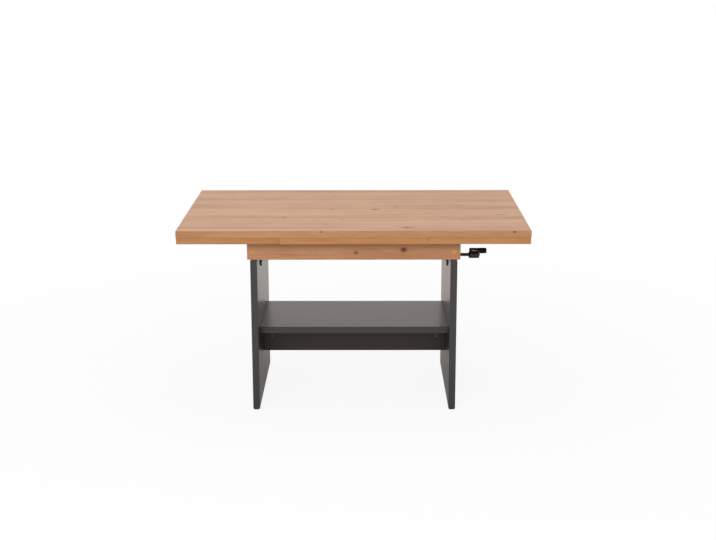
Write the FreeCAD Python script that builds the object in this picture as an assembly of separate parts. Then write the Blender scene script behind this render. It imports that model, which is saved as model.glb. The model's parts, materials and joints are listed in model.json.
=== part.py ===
import FreeCAD
import Part
import math
import os

# Extending coffee table, raised by a crank. Millimetres, X along the top, front at -Y, Z up from the floor.

# Whole top
top_length = 1100.0
top_depth = 680.0
table_height = 622.0
slab_thickness = 22.0
layer_thickness = 20.5
board_round = 1.0

# Pull-out leaves in the lower layer
leaf_length = 318.5
leaf_set_back = 1.0
leaf_joint = 0.5
leaf_slip = 0.5
leaf_travel = 300.0

# Runners under the leaves, and their guides
runner_width = 20.0
runner_height = 24.0
runner_tail_gap = 38.0
runner_end_inset = 25.0
runner_step_inset = 4.0
runner_nose = 12.0
right_lane = 150.0
left_lane = 190.0
guide_wall = 6.0
guide_length = 100.0
guide_ear = 12.0
guide_screw_inset = 20.0
stop_radius = 4.0
stop_reach = 6.0
stop_inset = 12.0
stop_gap = 0.3
runner_screw_inset = 60.0
runner_screw_sink = 6.0
runner_screw_bite = 12.0

# Apron box
apron_length = 677.0
apron_depth = 497.0
apron_height = 71.2
apron_thickness = 22.0
corner_leg = 24.0
corner_block_height = 56.0
cap_rise = 25.0
cap_radius = 8.0
cap_thickness = 1.5
cap_stem_radius = 3.5
cap_stem_length = 4.0
apron_screw_sink = 8.0
apron_screw_length = 45.0

# Side panels
panel_inset = 8.5
panel_depth = 481.0
panel_thickness = 22.0
panel_round = 6.0
glide_height = 2.0
glide_pad_radius = 4.8
glide_stem_radius = 2.0
glide_stem_length = 10.0
glide_inset = 36.0
buffer_height = 1.8
buffer_radius = 4.5

# Shelf, its rail and their fittings
shelf_top = 260.0
shelf_depth = 320.0
shelf_thickness = 22.0
shelf_rail_height = 106.0
shelf_rail_thickness = 22.0
cam_radius = 7.5
cam_depth = 12.5
cam_inset = 30.0
cam_slot_width = 2.0
cam_slot_length = 9.0
cam_slot_depth = 2.5
shelf_cam_spacing = 200.0
cam_bolt_radius = 3.0
cam_bolt_bite = 11.0
dowel_radius = 4.0
dowel_length = 32.0
dowel_bite = 12.0
shelf_dowel_spacing = 264.0
rail_dowel_spacing = 64.0

# Scissor lift
lift_travel = 150.0
lower_axis_drop = 18.5
pivot_offset = 28.0
inner_arm_y = 76.0
arm_thickness = 4.0
arm_width = 20.0
arm_gap = 4.0
pivot_rod_radius = 5.0
slider_radius = 8.0
slider_width = 12.0
channel_wall = 2.0
channel_slack = 1.7
channel_side_slack = 1.0
channel_lip = 1.0
channel_end_slack = 5.0
rail_end_gap = 2.0
board_screw_inset = 80.0
board_screw_spacing = 100.0
pivot_block_length = 22.0
bracket_plate = 4.0
bracket_width = 40.0
bracket_height = 47.0
bracket_taper = 20.0
bracket_tip_width = 12.0
bracket_top_gap = 0.5
bracket_screw_spacing = 28.0
bracket_screw_drop = 32.0
rivet_radius = 4.0
rivet_head_radius = 9.0
rivet_head_height = 3.0
rivet_slack = 1.7

# Spindle, nut and crank
spindle_drop = 22.5
spindle_radius = 6.0
spindle_tail = 8.0
collar_radius = 10.0
collar_length = 6.0
bush_radius = 9.0
bush_flange_radius = 13.0
bush_flange = 2.0
bearing_width = 48.0
bearing_height = 27.0
bearing_round = 6.0
bearing_screw_spacing = 34.0
nut_wall = 4.0
nut_depth = 28.0
nut_slot_slack = 0.5
nut_slot_run = 5.6
nut_round = 2.0
crank_shaft_radius = 5.4
crank_standoff = 54.0
crank_shaft_seat = 28.0
hub_radius = 12.0
hub_length = 36.0
hub_round = 5.0
crank_throw = 58.0
crank_eye_radius = 9.4
crank_eye_length = 26.0
crank_eye_setback = 7.0
crank_web_width = 15.0
crank_web_height = 12.0
crank_web_inset = 2.0
crank_round = 2.0
crank_pin_radius = 3.0
crank_pin_seat = 20.0
grip_gap = 0.5
grip_length = 32.0
grip_end_radius = 9.0
grip_belly_radius = 9.8
grip_end_wall = 4.0

# Screws and clearances shared by all
screw_radius = 1.8
screw_head_radius = 3.8
screw_head_height = 2.4
screw_length = 14.0
slab_screw_bite = 13.0
fit_gap = 0.1
running_gap = 0.05
overrun = 5.0
full_turn = 360.0
parallel_share = 0.99


# Places worked out from the sizes above
slab_bottom = table_height - slab_thickness
layer_bottom = slab_bottom - layer_thickness
leaf_bottom = layer_bottom + leaf_slip
leaf_top = slab_bottom - leaf_slip
leaf_outer_x = top_length / 2 - leaf_set_back
leaf_inner_x = leaf_outer_x - leaf_length
centre_half = leaf_inner_x - leaf_joint
board_screw_x = centre_half - board_screw_inset
runner_bottom = leaf_bottom - runner_height
apron_bottom = layer_bottom - apron_height
apron_front_y = apron_depth / 2
apron_inner_y = apron_front_y - apron_thickness
panel_outer_x = apron_length / 2 - panel_inset
panel_inner_x = panel_outer_x - panel_thickness
panel_middle_x = panel_outer_x - panel_thickness / 2
panel_top = apron_bottom - buffer_height
shelf_bottom = shelf_top - shelf_thickness
shelf_middle = shelf_top - shelf_thickness / 2
shelf_rail_bottom = shelf_bottom - shelf_rail_height
shelf_rail_middle = shelf_bottom - shelf_rail_height / 2

outer_arm_y = inner_arm_y + arm_thickness + arm_gap
slider_y = outer_arm_y + arm_thickness + arm_gap
rod_end_y = slider_y + slider_width
channel_web_y = rod_end_y + channel_side_slack
channel_outer_y = channel_web_y + channel_wall
channel_inner_y = slider_y - channel_lip
channel_middle_y = (channel_inner_y + channel_outer_y) / 2
channel_half = slider_radius + channel_slack
lower_axis_z = panel_top - lower_axis_drop
upper_axis_z = layer_bottom - channel_wall - channel_half
pivot_x = panel_inner_x - pivot_offset
arm_rise = upper_axis_z - lower_axis_z
arm_length = math.hypot(pivot_x * 2, arm_rise)
raised_run = math.sqrt(arm_length ** 2 - (arm_rise + lift_travel) ** 2)
slide_travel = pivot_x * 2 - raised_run
bracket_face_x = panel_inner_x - bracket_plate
bracket_top = panel_top - panel_round - bracket_top_gap
bracket_reach = bracket_face_x - pivot_x + slide_travel + slider_radius + channel_end_slack

spindle_z = lower_axis_z - spindle_drop
nut_slot_left = pivot_x - pivot_rod_radius - nut_slot_slack
nut_slot_right = pivot_x + pivot_rod_radius + nut_slot_run
nut_left = nut_slot_left - nut_wall
nut_right = nut_slot_right + nut_wall
nut_slot_half = pivot_rod_radius + channel_slack
collar_x = bracket_face_x - collar_length
spindle_start_x = nut_left - slide_travel - spindle_tail
bush_end_x = panel_outer_x + bush_flange
hub_start_x = panel_outer_x + crank_standoff
eye_start_x = hub_start_x + crank_eye_setback
eye_end_x = eye_start_x + crank_eye_length
grip_start_x = eye_end_x + grip_gap
grip_end_x = grip_start_x + grip_length

x_axis = FreeCAD.Vector(1, 0, 0)
y_axis = FreeCAD.Vector(0, 1, 0)
z_axis = FreeCAD.Vector(0, 0, 1)
centre = FreeCAD.Vector(0, 0, 0)

nodes = {}
bores = {}


def at(x, y, z):
    return FreeCAD.Vector(x, y, z)


def add(name, *solids):
    nodes.setdefault(name, []).extend(solids)


def bore(name, *tools):
    bores.setdefault(name, []).extend(tools)


def block(low, high):
    # Any two opposite corners will do
    corner = at(min(low.x, high.x), min(low.y, high.y), min(low.z, high.z))
    return Part.makeBox(abs(high.x - low.x), abs(high.y - low.y), abs(high.z - low.z), corner)


def board(low, high):
    plain = block(low, high)
    return plain.makeFillet(board_round, plain.Edges)


def round_bar(radius, start, direction, length):
    return Part.makeCylinder(radius, length, start, direction)


def prism(points, sweep):
    return Part.Face(Part.makePolygon(points + points[:1])).extrude(sweep)


def edges_along(shape, direction):
    along = []
    for edge in shape.Edges:
        if abs(edge.tangentAt(edge.FirstParameter) * direction) > parallel_share:
            along.append(edge)
    return along


def mirrored(shape, direction):
    return shape.mirror(centre, direction)


def peg(node, holders, radius, start, direction, length):
    # A pin in a bore with a little room all round, cut in each board that it enters
    add(node, round_bar(radius, start, direction, length))
    tool = round_bar(radius + fit_gap, start - direction * fit_gap, direction, length + fit_gap * 2)
    for holder in holders:
        bore(holder, tool)


def screw(node, holders, seat, direction, length):
    # The head stands on the seat, the shank runs along the direction
    head = round_bar(screw_head_radius, seat - direction * screw_head_height, direction, screw_head_height)
    shank = round_bar(screw_radius, seat, direction, length)
    add(node, head.fuse(shank))
    room = length + overrun + fit_gap
    tool = round_bar(screw_radius + fit_gap, seat - direction * overrun, direction, room)
    for holder in holders:
        bore(holder, tool)


def channel_profile(x, axis_z):
    # C section with its web away from the middle of the table, drawn on the rear side
    low = axis_z - channel_half
    high = axis_z + channel_half
    points = [
        at(x, channel_inner_y, low - channel_wall),
        at(x, channel_outer_y, low - channel_wall),
        at(x, channel_outer_y, high + channel_wall),
        at(x, channel_inner_y, high + channel_wall),
        at(x, channel_inner_y, high),
        at(x, channel_web_y, high),
        at(x, channel_web_y, low),
        at(x, channel_inner_y, low),
    ]
    return points


def make_side_panels():
    for side, name in ((-1, "left_panel"), (1, "right_panel")):
        low = at(side * panel_inner_x, -panel_depth / 2, glide_height)
        high = at(side * panel_outer_x, panel_depth / 2, panel_top)
        blank = block(low, high)
        rounded = blank.makeFillet(panel_round, edges_along(blank, y_axis))
        rims = [edge for edge in rounded.Edges if abs(edge.BoundBox.YLength) < board_round]
        add(name, rounded.makeFillet(board_round, rims))
        for end in (-1, 1):
            foot = at(side * panel_middle_x, end * (panel_depth / 2 - glide_inset), 0)
            stem_start = foot + z_axis * glide_height
            pad = round_bar(glide_pad_radius, foot, z_axis, glide_height)
            stem = round_bar(glide_stem_radius, stem_start, z_axis, glide_stem_length)
            add("floor_glides", pad.fuse(stem))
            room = glide_stem_length + overrun + fit_gap
            bore(name, round_bar(glide_stem_radius + fit_gap, stem_start - z_axis * overrun, z_axis, room))
            rest = at(foot.x, foot.y, panel_top)
            add("rest_buffers", round_bar(buffer_radius, rest, z_axis, buffer_height))


def cam_lock(node_board, face, direction):
    # Turned lock with a screwdriver slot, sunk flush into the board
    lock = round_bar(cam_radius, face, direction, cam_depth)
    half = x_axis * (cam_slot_length / 2)
    across = direction.cross(x_axis) * (cam_slot_width / 2)
    slot = block(face - half - across, face + half + across + direction * cam_slot_depth)
    add("cam_locks", lock.cut(slot))
    depth = cam_depth + overrun + fit_gap
    bore(node_board, round_bar(cam_radius + fit_gap, face - direction * overrun, direction, depth))


def make_shelf():
    add("shelf", board(at(-panel_inner_x, -shelf_depth / 2, shelf_bottom),
                       at(panel_inner_x, shelf_depth / 2, shelf_top)))
    add("shelf_rail", board(at(-panel_inner_x, -shelf_rail_thickness / 2, shelf_rail_bottom),
                            at(panel_inner_x, shelf_rail_thickness / 2, shelf_bottom)))
    bolt_length = cam_bolt_bite + cam_inset - cam_radius - fit_gap
    for side, panel in ((-1, "left_panel"), (1, "right_panel")):
        inward = x_axis * -side
        bolt_x = side * (panel_inner_x + cam_bolt_bite)
        dowel_x = side * (panel_inner_x + dowel_bite)
        cam_x = side * (panel_inner_x - cam_inset)
        cam_lock("shelf_rail", at(cam_x, -shelf_rail_thickness / 2, shelf_rail_middle), y_axis)
        peg("cam_bolts", (panel, "shelf_rail"), cam_bolt_radius,
            at(bolt_x, 0, shelf_rail_middle), inward, bolt_length)
        for end in (-1, 1):
            dowel_z = shelf_rail_middle + end * rail_dowel_spacing / 2
            peg("dowels", (panel, "shelf_rail"), dowel_radius, at(dowel_x, 0, dowel_z), inward, dowel_length)
            cam_y = end * shelf_cam_spacing / 2
            cam_lock("shelf", at(cam_x, cam_y, shelf_bottom), z_axis)
            peg("cam_bolts", (panel, "shelf"), cam_bolt_radius,
                at(bolt_x, cam_y, shelf_middle), inward, bolt_length)
            dowel_y = end * shelf_dowel_spacing / 2
            peg("dowels", (panel, "shelf"), dowel_radius,
                at(dowel_x, dowel_y, shelf_middle), inward, dowel_length)


def make_top():
    half = top_depth / 2
    add("top_slab", board(at(-top_length / 2, -half, slab_bottom), at(top_length / 2, half, table_height)))
    add("centre_board", board(at(-centre_half, -half, layer_bottom), at(centre_half, half, slab_bottom)))
    for side in (-1, 1):
        for end in (-1, 1):
            seat = at(side * board_screw_x, end * board_screw_spacing / 2, layer_bottom)
            screw("underside_screws", ("centre_board", "top_slab"), seat, z_axis,
                  layer_thickness + slab_screw_bite)


def make_apron():
    for end, name in ((-1, "front_apron"), (1, "rear_apron")):
        add(name, board(at(-apron_length / 2, end * apron_front_y, apron_bottom),
                        at(apron_length / 2, end * apron_inner_y, layer_bottom)))
    for side, name, lane in ((-1, "left_apron_end", left_lane), (1, "right_apron_end", right_lane)):
        add(name, board(at(side * panel_inner_x, -apron_inner_y, apron_bottom),
                        at(side * panel_outer_x, apron_inner_y, layer_bottom)))
        for end, apron in ((-1, "front_apron"), (1, "rear_apron")):
            gap = runner_width / 2 + leaf_slip
            bore(name, block(at(side * (panel_inner_x - overrun), end * lane - gap, runner_bottom),
                             at(side * (panel_outer_x + overrun), end * lane + gap, layer_bottom + overrun)))
            make_corner_block(side, end)
            make_apron_screw(side, end, apron, name)


def make_corner_block(side, end):
    # Glue block with a slanted face in the corner of the box
    x = side * panel_inner_x
    y = end * apron_inner_y
    points = [
        at(x, y, apron_bottom),
        at(x - side * corner_leg, y, apron_bottom),
        at(x, y - end * corner_leg, apron_bottom),
    ]
    add("corner_blocks", prism(points, z_axis * corner_block_height))


def make_apron_screw(side, end, apron, apron_end):
    # Long screw sunk below the face of the apron, with a domed cap over it
    inward = y_axis * -end
    face = at(side * panel_middle_x, end * apron_front_y, apron_bottom + cap_rise)
    seat = face + inward * apron_screw_sink
    screw("apron_screws", (apron, apron_end), seat, inward, apron_screw_length)
    sink_radius = screw_head_radius + fit_gap
    bore(apron, round_bar(sink_radius, face - inward * overrun, inward, apron_screw_sink + overrun))
    rim = face - inward * cap_thickness
    disc = round_bar(cap_radius, rim, inward, cap_thickness)
    crown = [edge for edge in disc.Edges if abs(edge.BoundBox.Center.y - rim.y) < fit_gap]
    domed = disc.makeFillet(cap_thickness / 2, crown)
    add("screw_caps", domed.fuse(round_bar(cap_stem_radius, face, inward, cap_stem_length)))


def make_leaf(side, name, lane, ear_side):
    # A leaf slides out along X on two runners that reach far back under the fixed board
    half = top_depth / 2
    leaf = name + "_leaf"
    add(leaf, board(at(side * leaf_inner_x, -half, leaf_bottom), at(side * leaf_outer_x, half, leaf_top)))
    nose_x = leaf_outer_x - runner_end_inset
    tail_x = runner_tail_gap - panel_inner_x
    step_x = leaf_inner_x + runner_step_inset
    low_top = layer_bottom - leaf_slip
    stop_x = tail_x + stop_inset
    guide_x = stop_x + stop_radius + leaf_travel + stop_gap
    for end, place in ((-1, "front"), (1, "rear")):
        runner = name + "_" + place + "_runner"
        y = end * lane - runner_width / 2
        points = [
            at(side * tail_x, y, runner_bottom),
            at(side * (nose_x - runner_nose), y, runner_bottom),
            at(side * nose_x, y, runner_bottom + runner_nose),
            at(side * nose_x, y, leaf_bottom),
            at(side * step_x, y, leaf_bottom),
            at(side * step_x, y, low_top),
            at(side * tail_x, y, low_top),
        ]
        add(runner, prism(points, y_axis * runner_width))
        outward = y_axis * (end * ear_side)
        stop_z = (runner_bottom + low_top) / 2
        stop_start = at(side * stop_x, end * lane, stop_z)
        peg(name + "_runner_stops", (runner,), stop_radius, stop_start, outward * -1,
            runner_width / 2 + stop_reach)
        for screw_x in (step_x + runner_screw_inset, nose_x - runner_screw_inset):
            under = at(side * screw_x, end * lane, runner_bottom)
            seat = under + z_axis * runner_screw_sink
            reach = runner_height - runner_screw_sink + runner_screw_bite
            screw(name + "_runner_screws", (runner, leaf), seat, z_axis, reach)
            sink_radius = screw_head_radius + fit_gap
            sink_room = runner_screw_sink + overrun
            bore(runner, round_bar(sink_radius, under - z_axis * overrun, z_axis, sink_room))
        make_guide(side, name, end * lane, outward.y, guide_x)


def make_guide(side, name, y, outward, start_x):
    # Saddle that carries a runner, hung from the fixed board by one ear
    inside = runner_width / 2 + leaf_slip
    outside = inside + guide_wall
    ear_end = y + outward * (outside + guide_ear)
    x = side * start_x
    points = [
        at(x, y - outward * outside, layer_bottom),
        at(x, y - outward * outside, runner_bottom - guide_wall),
        at(x, y + outward * outside, runner_bottom - guide_wall),
        at(x, y + outward * outside, layer_bottom - guide_wall),
        at(x, ear_end, layer_bottom - guide_wall),
        at(x, ear_end, layer_bottom),
        at(x, y + outward * inside, layer_bottom),
        at(x, y + outward * inside, runner_bottom),
        at(x, y - outward * inside, runner_bottom),
        at(x, y - outward * inside, layer_bottom),
    ]
    guides = name + "_runner_guides"
    add(guides, prism(points, x_axis * (side * guide_length)))
    screw_y = y + outward * (outside + guide_ear / 2)
    for screw_x in (start_x + guide_screw_inset, start_x + guide_length - guide_screw_inset):
        seat = at(side * screw_x, screw_y, layer_bottom - guide_wall)
        screw("underside_screws", (guides, "centre_board"), seat, z_axis, screw_length)


def pivot_block(axis_x, axis_z, end):
    # Bearing block that fills the channel round a rod's end
    half = pivot_block_length / 2
    solid = block(at(axis_x - half, end * channel_inner_y, axis_z - channel_half),
                  at(axis_x + half, end * channel_web_y, axis_z + channel_half))
    hole_start = at(axis_x, end * (channel_inner_y - overrun), axis_z)
    hole_length = rod_end_y - channel_inner_y + overrun + fit_gap
    return solid.cut(round_bar(pivot_rod_radius + running_gap, hole_start, y_axis * end, hole_length))


def make_brackets():
    # Tapered plates on the panels' inner faces, each with a short channel for the arms' lower ends
    for side, hand in ((-1, "left"), (1, "right")):
        for end, place in ((-1, "front"), (1, "rear")):
            name = hand + "_" + place + "_bracket"
            x = side * panel_inner_x
            inward = x_axis * -side
            y = end * channel_middle_y
            tip = bracket_top - bracket_height
            half = bracket_width / 2
            half_tip = bracket_tip_width / 2
            points = [
                at(x, y - half, bracket_top),
                at(x, y + half, bracket_top),
                at(x, y + half, tip + bracket_taper),
                at(x, y + half_tip, tip),
                at(x, y - half_tip, tip),
                at(x, y - half, tip + bracket_taper),
            ]
            plate = prism(points, inward * bracket_plate)
            channel = prism(channel_profile(side * bracket_face_x, lower_axis_z), inward * bracket_reach)
            if end < 0:
                channel = mirrored(channel, y_axis)
            add(name, plate.fuse(channel).removeSplitter())
            for step in (-1, 1):
                seat_y = y + step * bracket_screw_spacing / 2
                seat = at(side * bracket_face_x, seat_y, bracket_top - bracket_screw_drop)
                screw("bracket_screws", (name, hand + "_panel"), seat, x_axis * side, screw_length)
    for end in (-1, 1):
        add("lower_pivot_blocks", pivot_block(-pivot_x, lower_axis_z, end))


def make_lift_rails():
    rail_half = panel_inner_x - rail_end_gap
    rail = prism(channel_profile(-rail_half, upper_axis_z), x_axis * (rail_half * 2))
    add("rear_lift_rail", rail)
    add("front_lift_rail", mirrored(rail, y_axis))
    for end, name in ((-1, "front_lift_rail"), (1, "rear_lift_rail")):
        add("upper_pivot_blocks", pivot_block(-pivot_x, upper_axis_z, end))
        for step in (-1, 0, 1):
            seat = at(step * board_screw_x, end * channel_middle_y, layer_bottom - channel_wall)
            screw("underside_screws", (name, "centre_board"), seat, z_axis, screw_length)


def arm(start, finish, y):
    # Flat bar with round ends, drilled at both pivots and at the crossing
    line = (finish - start).normalize()
    across = y_axis.cross(line) * (arm_width / 2)
    ahead = line * (arm_width / 2)
    lines = (Part.LineSegment(start + across, finish + across),
             Part.LineSegment(finish - across, start - across))
    ends = (Part.Arc(finish + across, finish + ahead, finish - across),
            Part.Arc(start - across, start - ahead, start + across))
    edges = [lines[0].toShape(), ends[0].toShape(), lines[1].toShape(), ends[1].toShape()]
    bar = Part.Face(Part.Wire(edges)).extrude(y_axis * arm_thickness)
    bar.translate(y_axis * y)
    for pivot in (start, finish):
        hole = round_bar(pivot_rod_radius + running_gap, pivot + y_axis * (y - overrun), y_axis,
                         arm_thickness + overrun * 2)
        bar = bar.cut(hole)
    return bar


def crossing_hole(y, radius):
    middle = at(0, y - overrun, (lower_axis_z + upper_axis_z) / 2)
    return round_bar(radius, middle, y_axis, arm_thickness + overrun * 2)


def pivot_rod(x, z):
    return round_bar(pivot_rod_radius, at(x, -rod_end_y, z), y_axis, rod_end_y * 2)


def slider(x, z):
    # Nylon bush on a rod's end that runs in a channel
    start = at(x, slider_y, z)
    bush = round_bar(slider_radius, start, y_axis, slider_width)
    return bush.cut(round_bar(pivot_rod_radius + running_gap, start - y_axis * overrun, y_axis,
                              slider_width + overrun * 2))


def make_arms():
    low_left = at(-pivot_x, 0, lower_axis_z)
    high_right = at(pivot_x, 0, upper_axis_z)
    high_left = at(-pivot_x, 0, upper_axis_z)
    low_right = at(pivot_x, 0, lower_axis_z)
    outer = arm(low_left, high_right, outer_arm_y).cut(crossing_hole(outer_arm_y, rivet_radius + running_gap))
    inner = arm(high_left, low_right, inner_arm_y).cut(crossing_hole(inner_arm_y, rivet_radius + rivet_slack))
    middle = at(0, inner_arm_y, (lower_axis_z + upper_axis_z) / 2)
    stack = outer_arm_y + arm_thickness - inner_arm_y
    head = round_bar(rivet_head_radius, middle - y_axis * rivet_head_height, y_axis, rivet_head_height)
    tail = round_bar(rivet_head_radius, middle + y_axis * stack, y_axis, rivet_head_height)
    rivet = round_bar(rivet_radius, middle, y_axis, stack).fuse([head, tail])
    washer_start = at(0, inner_arm_y + arm_thickness, middle.z)
    washer = round_bar(rivet_head_radius, washer_start, y_axis, arm_gap)
    washer = washer.cut(round_bar(rivet_radius + running_gap, washer_start - y_axis * overrun, y_axis,
                                  arm_gap + overrun * 2))
    outer_slider = slider(pivot_x, upper_axis_z)
    inner_slider = slider(pivot_x, lower_axis_z)
    add("rear_outer_arm", outer)
    add("front_outer_arm", mirrored(outer, y_axis))
    add("rear_inner_arm", inner)
    add("front_inner_arm", mirrored(inner, y_axis))
    add("crossing_rivets", rivet, mirrored(rivet, y_axis))
    add("crossing_washers", washer, mirrored(washer, y_axis))
    add("outer_sliders", outer_slider, mirrored(outer_slider, y_axis))
    add("inner_sliders", inner_slider, mirrored(inner_slider, y_axis))
    add("outer_pivot_rod", pivot_rod(-pivot_x, lower_axis_z))
    add("outer_slider_rod", pivot_rod(pivot_x, upper_axis_z))
    add("inner_pivot_rod", pivot_rod(-pivot_x, upper_axis_z))
    add("inner_slider_rod", pivot_rod(pivot_x, lower_axis_z))


def turned(steps, start_x):
    # Stepped shaft along the spindle's axis, from pairs of radius and end
    solid = None
    x = start_x
    for radius, end_x in steps:
        piece = round_bar(radius, at(x, 0, spindle_z), x_axis, end_x - x)
        solid = piece if solid is None else solid.fuse(piece)
        x = end_x
    return solid.removeSplitter()


def make_spindle():
    seat_x = hub_start_x + crank_shaft_seat
    steps = ((spindle_radius, collar_x), (collar_radius, bracket_face_x),
             (spindle_radius, bush_end_x), (crank_shaft_radius, seat_x))
    add("spindle", turned(steps, spindle_start_x))
    sleeve_start = at(panel_inner_x, 0, spindle_z)
    sleeve = round_bar(bush_radius, sleeve_start, x_axis, panel_thickness)
    flange = round_bar(bush_flange_radius, at(panel_outer_x, 0, spindle_z), x_axis, bush_flange)
    shaft_hole = round_bar(spindle_radius + running_gap, at(bracket_face_x - overrun, 0, spindle_z), x_axis,
                           bush_end_x - bracket_face_x + overrun * 2)
    add("spindle_bush", sleeve.fuse(flange).cut(shaft_hole))
    bore("right_panel", round_bar(bush_radius + fit_gap, sleeve_start - x_axis * overrun, x_axis,
                                  panel_thickness + overrun * 2))
    low = at(bracket_face_x, -bearing_width / 2, spindle_z - bearing_height / 2)
    high = at(panel_inner_x, bearing_width / 2, spindle_z + bearing_height / 2)
    plate = block(low, high)
    add("bearing_plate", plate.makeFillet(bearing_round, edges_along(plate, x_axis)).cut(shaft_hole))
    for end in (-1, 1):
        seat = at(bracket_face_x, end * bearing_screw_spacing / 2, spindle_z)
        screw("bracket_screws", ("bearing_plate", "right_panel"), seat, x_axis, screw_length)


def make_nut():
    # Travelling block on the spindle, with a slot that draws the inner arms' rod along
    bottom = spindle_z - spindle_radius - nut_wall
    top = lower_axis_z + nut_slot_half + nut_wall
    blank = block(at(nut_left, -nut_depth / 2, bottom), at(nut_right, nut_depth / 2, top))
    body = blank.makeFillet(nut_round, edges_along(blank, y_axis))
    thread = round_bar(spindle_radius + running_gap, at(nut_left - overrun, 0, spindle_z), x_axis,
                       nut_right - nut_left + overrun * 2)
    slot_low = at(nut_slot_left, -nut_depth / 2 - overrun, lower_axis_z - nut_slot_half)
    slot_high = at(nut_slot_right, nut_depth / 2 + overrun, lower_axis_z + nut_slot_half)
    slot = block(slot_low, slot_high)
    slot = slot.makeFillet(pivot_rod_radius, edges_along(slot, y_axis))
    add("spindle_nut", body.cut([thread, slot]))


def round_rims(bar, radius):
    return [edge for edge in bar.Edges if edge.BoundBox.YLength > radius]


def make_crank():
    # Moulded hub and eye with a slanting web between them, lying towards the back at rest
    hub = round_bar(hub_radius, at(hub_start_x, 0, spindle_z), x_axis, hub_length)
    hub = hub.makeFillet(hub_round, round_rims(hub, hub_radius))
    eye = round_bar(crank_eye_radius, at(eye_start_x, crank_throw, spindle_z), x_axis, crank_eye_length)
    eye = eye.makeFillet(crank_round, round_rims(eye, crank_eye_radius))
    near_x = hub_start_x + hub_length - crank_web_inset
    far_x = eye_start_x + crank_web_inset
    under_z = spindle_z - crank_web_height / 2
    points = [
        at(near_x - crank_web_width, 0, under_z),
        at(near_x, 0, under_z),
        at(far_x + crank_web_width, crank_throw, under_z),
        at(far_x, crank_throw, under_z),
    ]
    web = prism(points, z_axis * crank_web_height)
    web = web.makeFillet(crank_round, edges_along(web, (points[2] - points[1]).normalize()))
    shaft_hole = round_bar(crank_shaft_radius + running_gap, at(hub_start_x - overrun, 0, spindle_z), x_axis,
                           crank_shaft_seat + overrun + fit_gap)
    pin_start = at(eye_end_x - crank_pin_seat, crank_throw, spindle_z)
    pin_length = crank_pin_seat + grip_gap + grip_length - grip_end_wall
    pin_hole = round_bar(crank_pin_radius + running_gap, pin_start - x_axis * fit_gap, x_axis,
                         pin_length + fit_gap * 2)
    add("crank", hub.fuse([eye, web]).cut([shaft_hole, pin_hole]))
    add("crank_pin", round_bar(crank_pin_radius, pin_start, x_axis, pin_length))
    add("crank_grip", make_grip().cut(pin_hole))


def make_grip():
    # Barrel turned about the pin
    middle_x = (grip_start_x + grip_end_x) / 2
    axis_start = at(grip_start_x, crank_throw, spindle_z)
    axis_end = at(grip_end_x, crank_throw, spindle_z)
    rim_start = axis_start + z_axis * grip_end_radius
    rim_end = axis_end + z_axis * grip_end_radius
    belly = Part.Arc(rim_start, at(middle_x, crank_throw, spindle_z + grip_belly_radius), rim_end)
    edges = [Part.LineSegment(axis_start, rim_start).toShape(), belly.toShape(),
             Part.LineSegment(rim_end, axis_end).toShape(), Part.LineSegment(axis_end, axis_start).toShape()]
    barrel = Part.Face(Part.Wire(edges)).revolve(axis_start, x_axis, full_turn)
    rims = [edge for edge in barrel.Edges if edge.BoundBox.XLength < fit_gap and edge.Closed]
    return barrel.makeFillet(crank_round, rims)


def export_all():
    os.makedirs("parts", exist_ok=True)
    for name, solids in nodes.items():
        tools = bores.get(name, [])
        pieces = [solid.cut(tools) if tools else solid for solid in solids]
        pieces = [single for piece in pieces for single in piece.Solids]
        shape = pieces[0] if len(pieces) == 1 else Part.makeCompound(pieces)
        shape.exportStep("parts/" + name + ".step")


make_side_panels()
make_shelf()
make_top()
make_apron()
make_leaf(1, "right", right_lane, -1)
make_leaf(-1, "left", left_lane, 1)
make_brackets()
make_lift_rails()
make_arms()
make_spindle()
make_nut()
make_crank()
export_all()
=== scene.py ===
import json
import math

import bmesh
import bpy
from mathutils import Matrix, Vector


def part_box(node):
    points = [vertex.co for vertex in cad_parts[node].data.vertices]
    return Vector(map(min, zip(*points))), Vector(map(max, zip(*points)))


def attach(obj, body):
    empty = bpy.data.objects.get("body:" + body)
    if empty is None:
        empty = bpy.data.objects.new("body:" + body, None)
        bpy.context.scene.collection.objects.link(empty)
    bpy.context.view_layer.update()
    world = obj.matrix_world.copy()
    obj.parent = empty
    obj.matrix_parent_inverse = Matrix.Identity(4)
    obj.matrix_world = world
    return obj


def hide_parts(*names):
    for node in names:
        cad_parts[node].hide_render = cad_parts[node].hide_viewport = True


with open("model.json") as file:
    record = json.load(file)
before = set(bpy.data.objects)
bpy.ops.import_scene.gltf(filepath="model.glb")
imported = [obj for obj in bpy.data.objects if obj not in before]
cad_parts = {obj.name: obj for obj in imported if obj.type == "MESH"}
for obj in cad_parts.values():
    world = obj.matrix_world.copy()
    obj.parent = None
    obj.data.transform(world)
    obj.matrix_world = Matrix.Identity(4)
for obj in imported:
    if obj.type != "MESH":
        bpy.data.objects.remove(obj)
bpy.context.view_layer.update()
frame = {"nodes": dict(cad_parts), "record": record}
nodes = frame["nodes"]
record = frame["record"]
bodies = record["behaviour"]["bodies"]
bodyOf = {node: body for body, members in bodies.items() for node in members}
slotOf = {part["node"]: part["material_slot"] for part in record["subparts"]}

white = (1.0, 1.0, 1.0, 1.0)
squareOn = 0.7  # how far a normal leans along an axis when its face looks that way


def srgb(red, green, blue):
    # a colour as picked on screen, 0 to 255, made linear for the shaders
    return (*[((c / 255 + 0.055) / 1.055) ** 2.4 for c in (red, green, blue)], 1.0)


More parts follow.
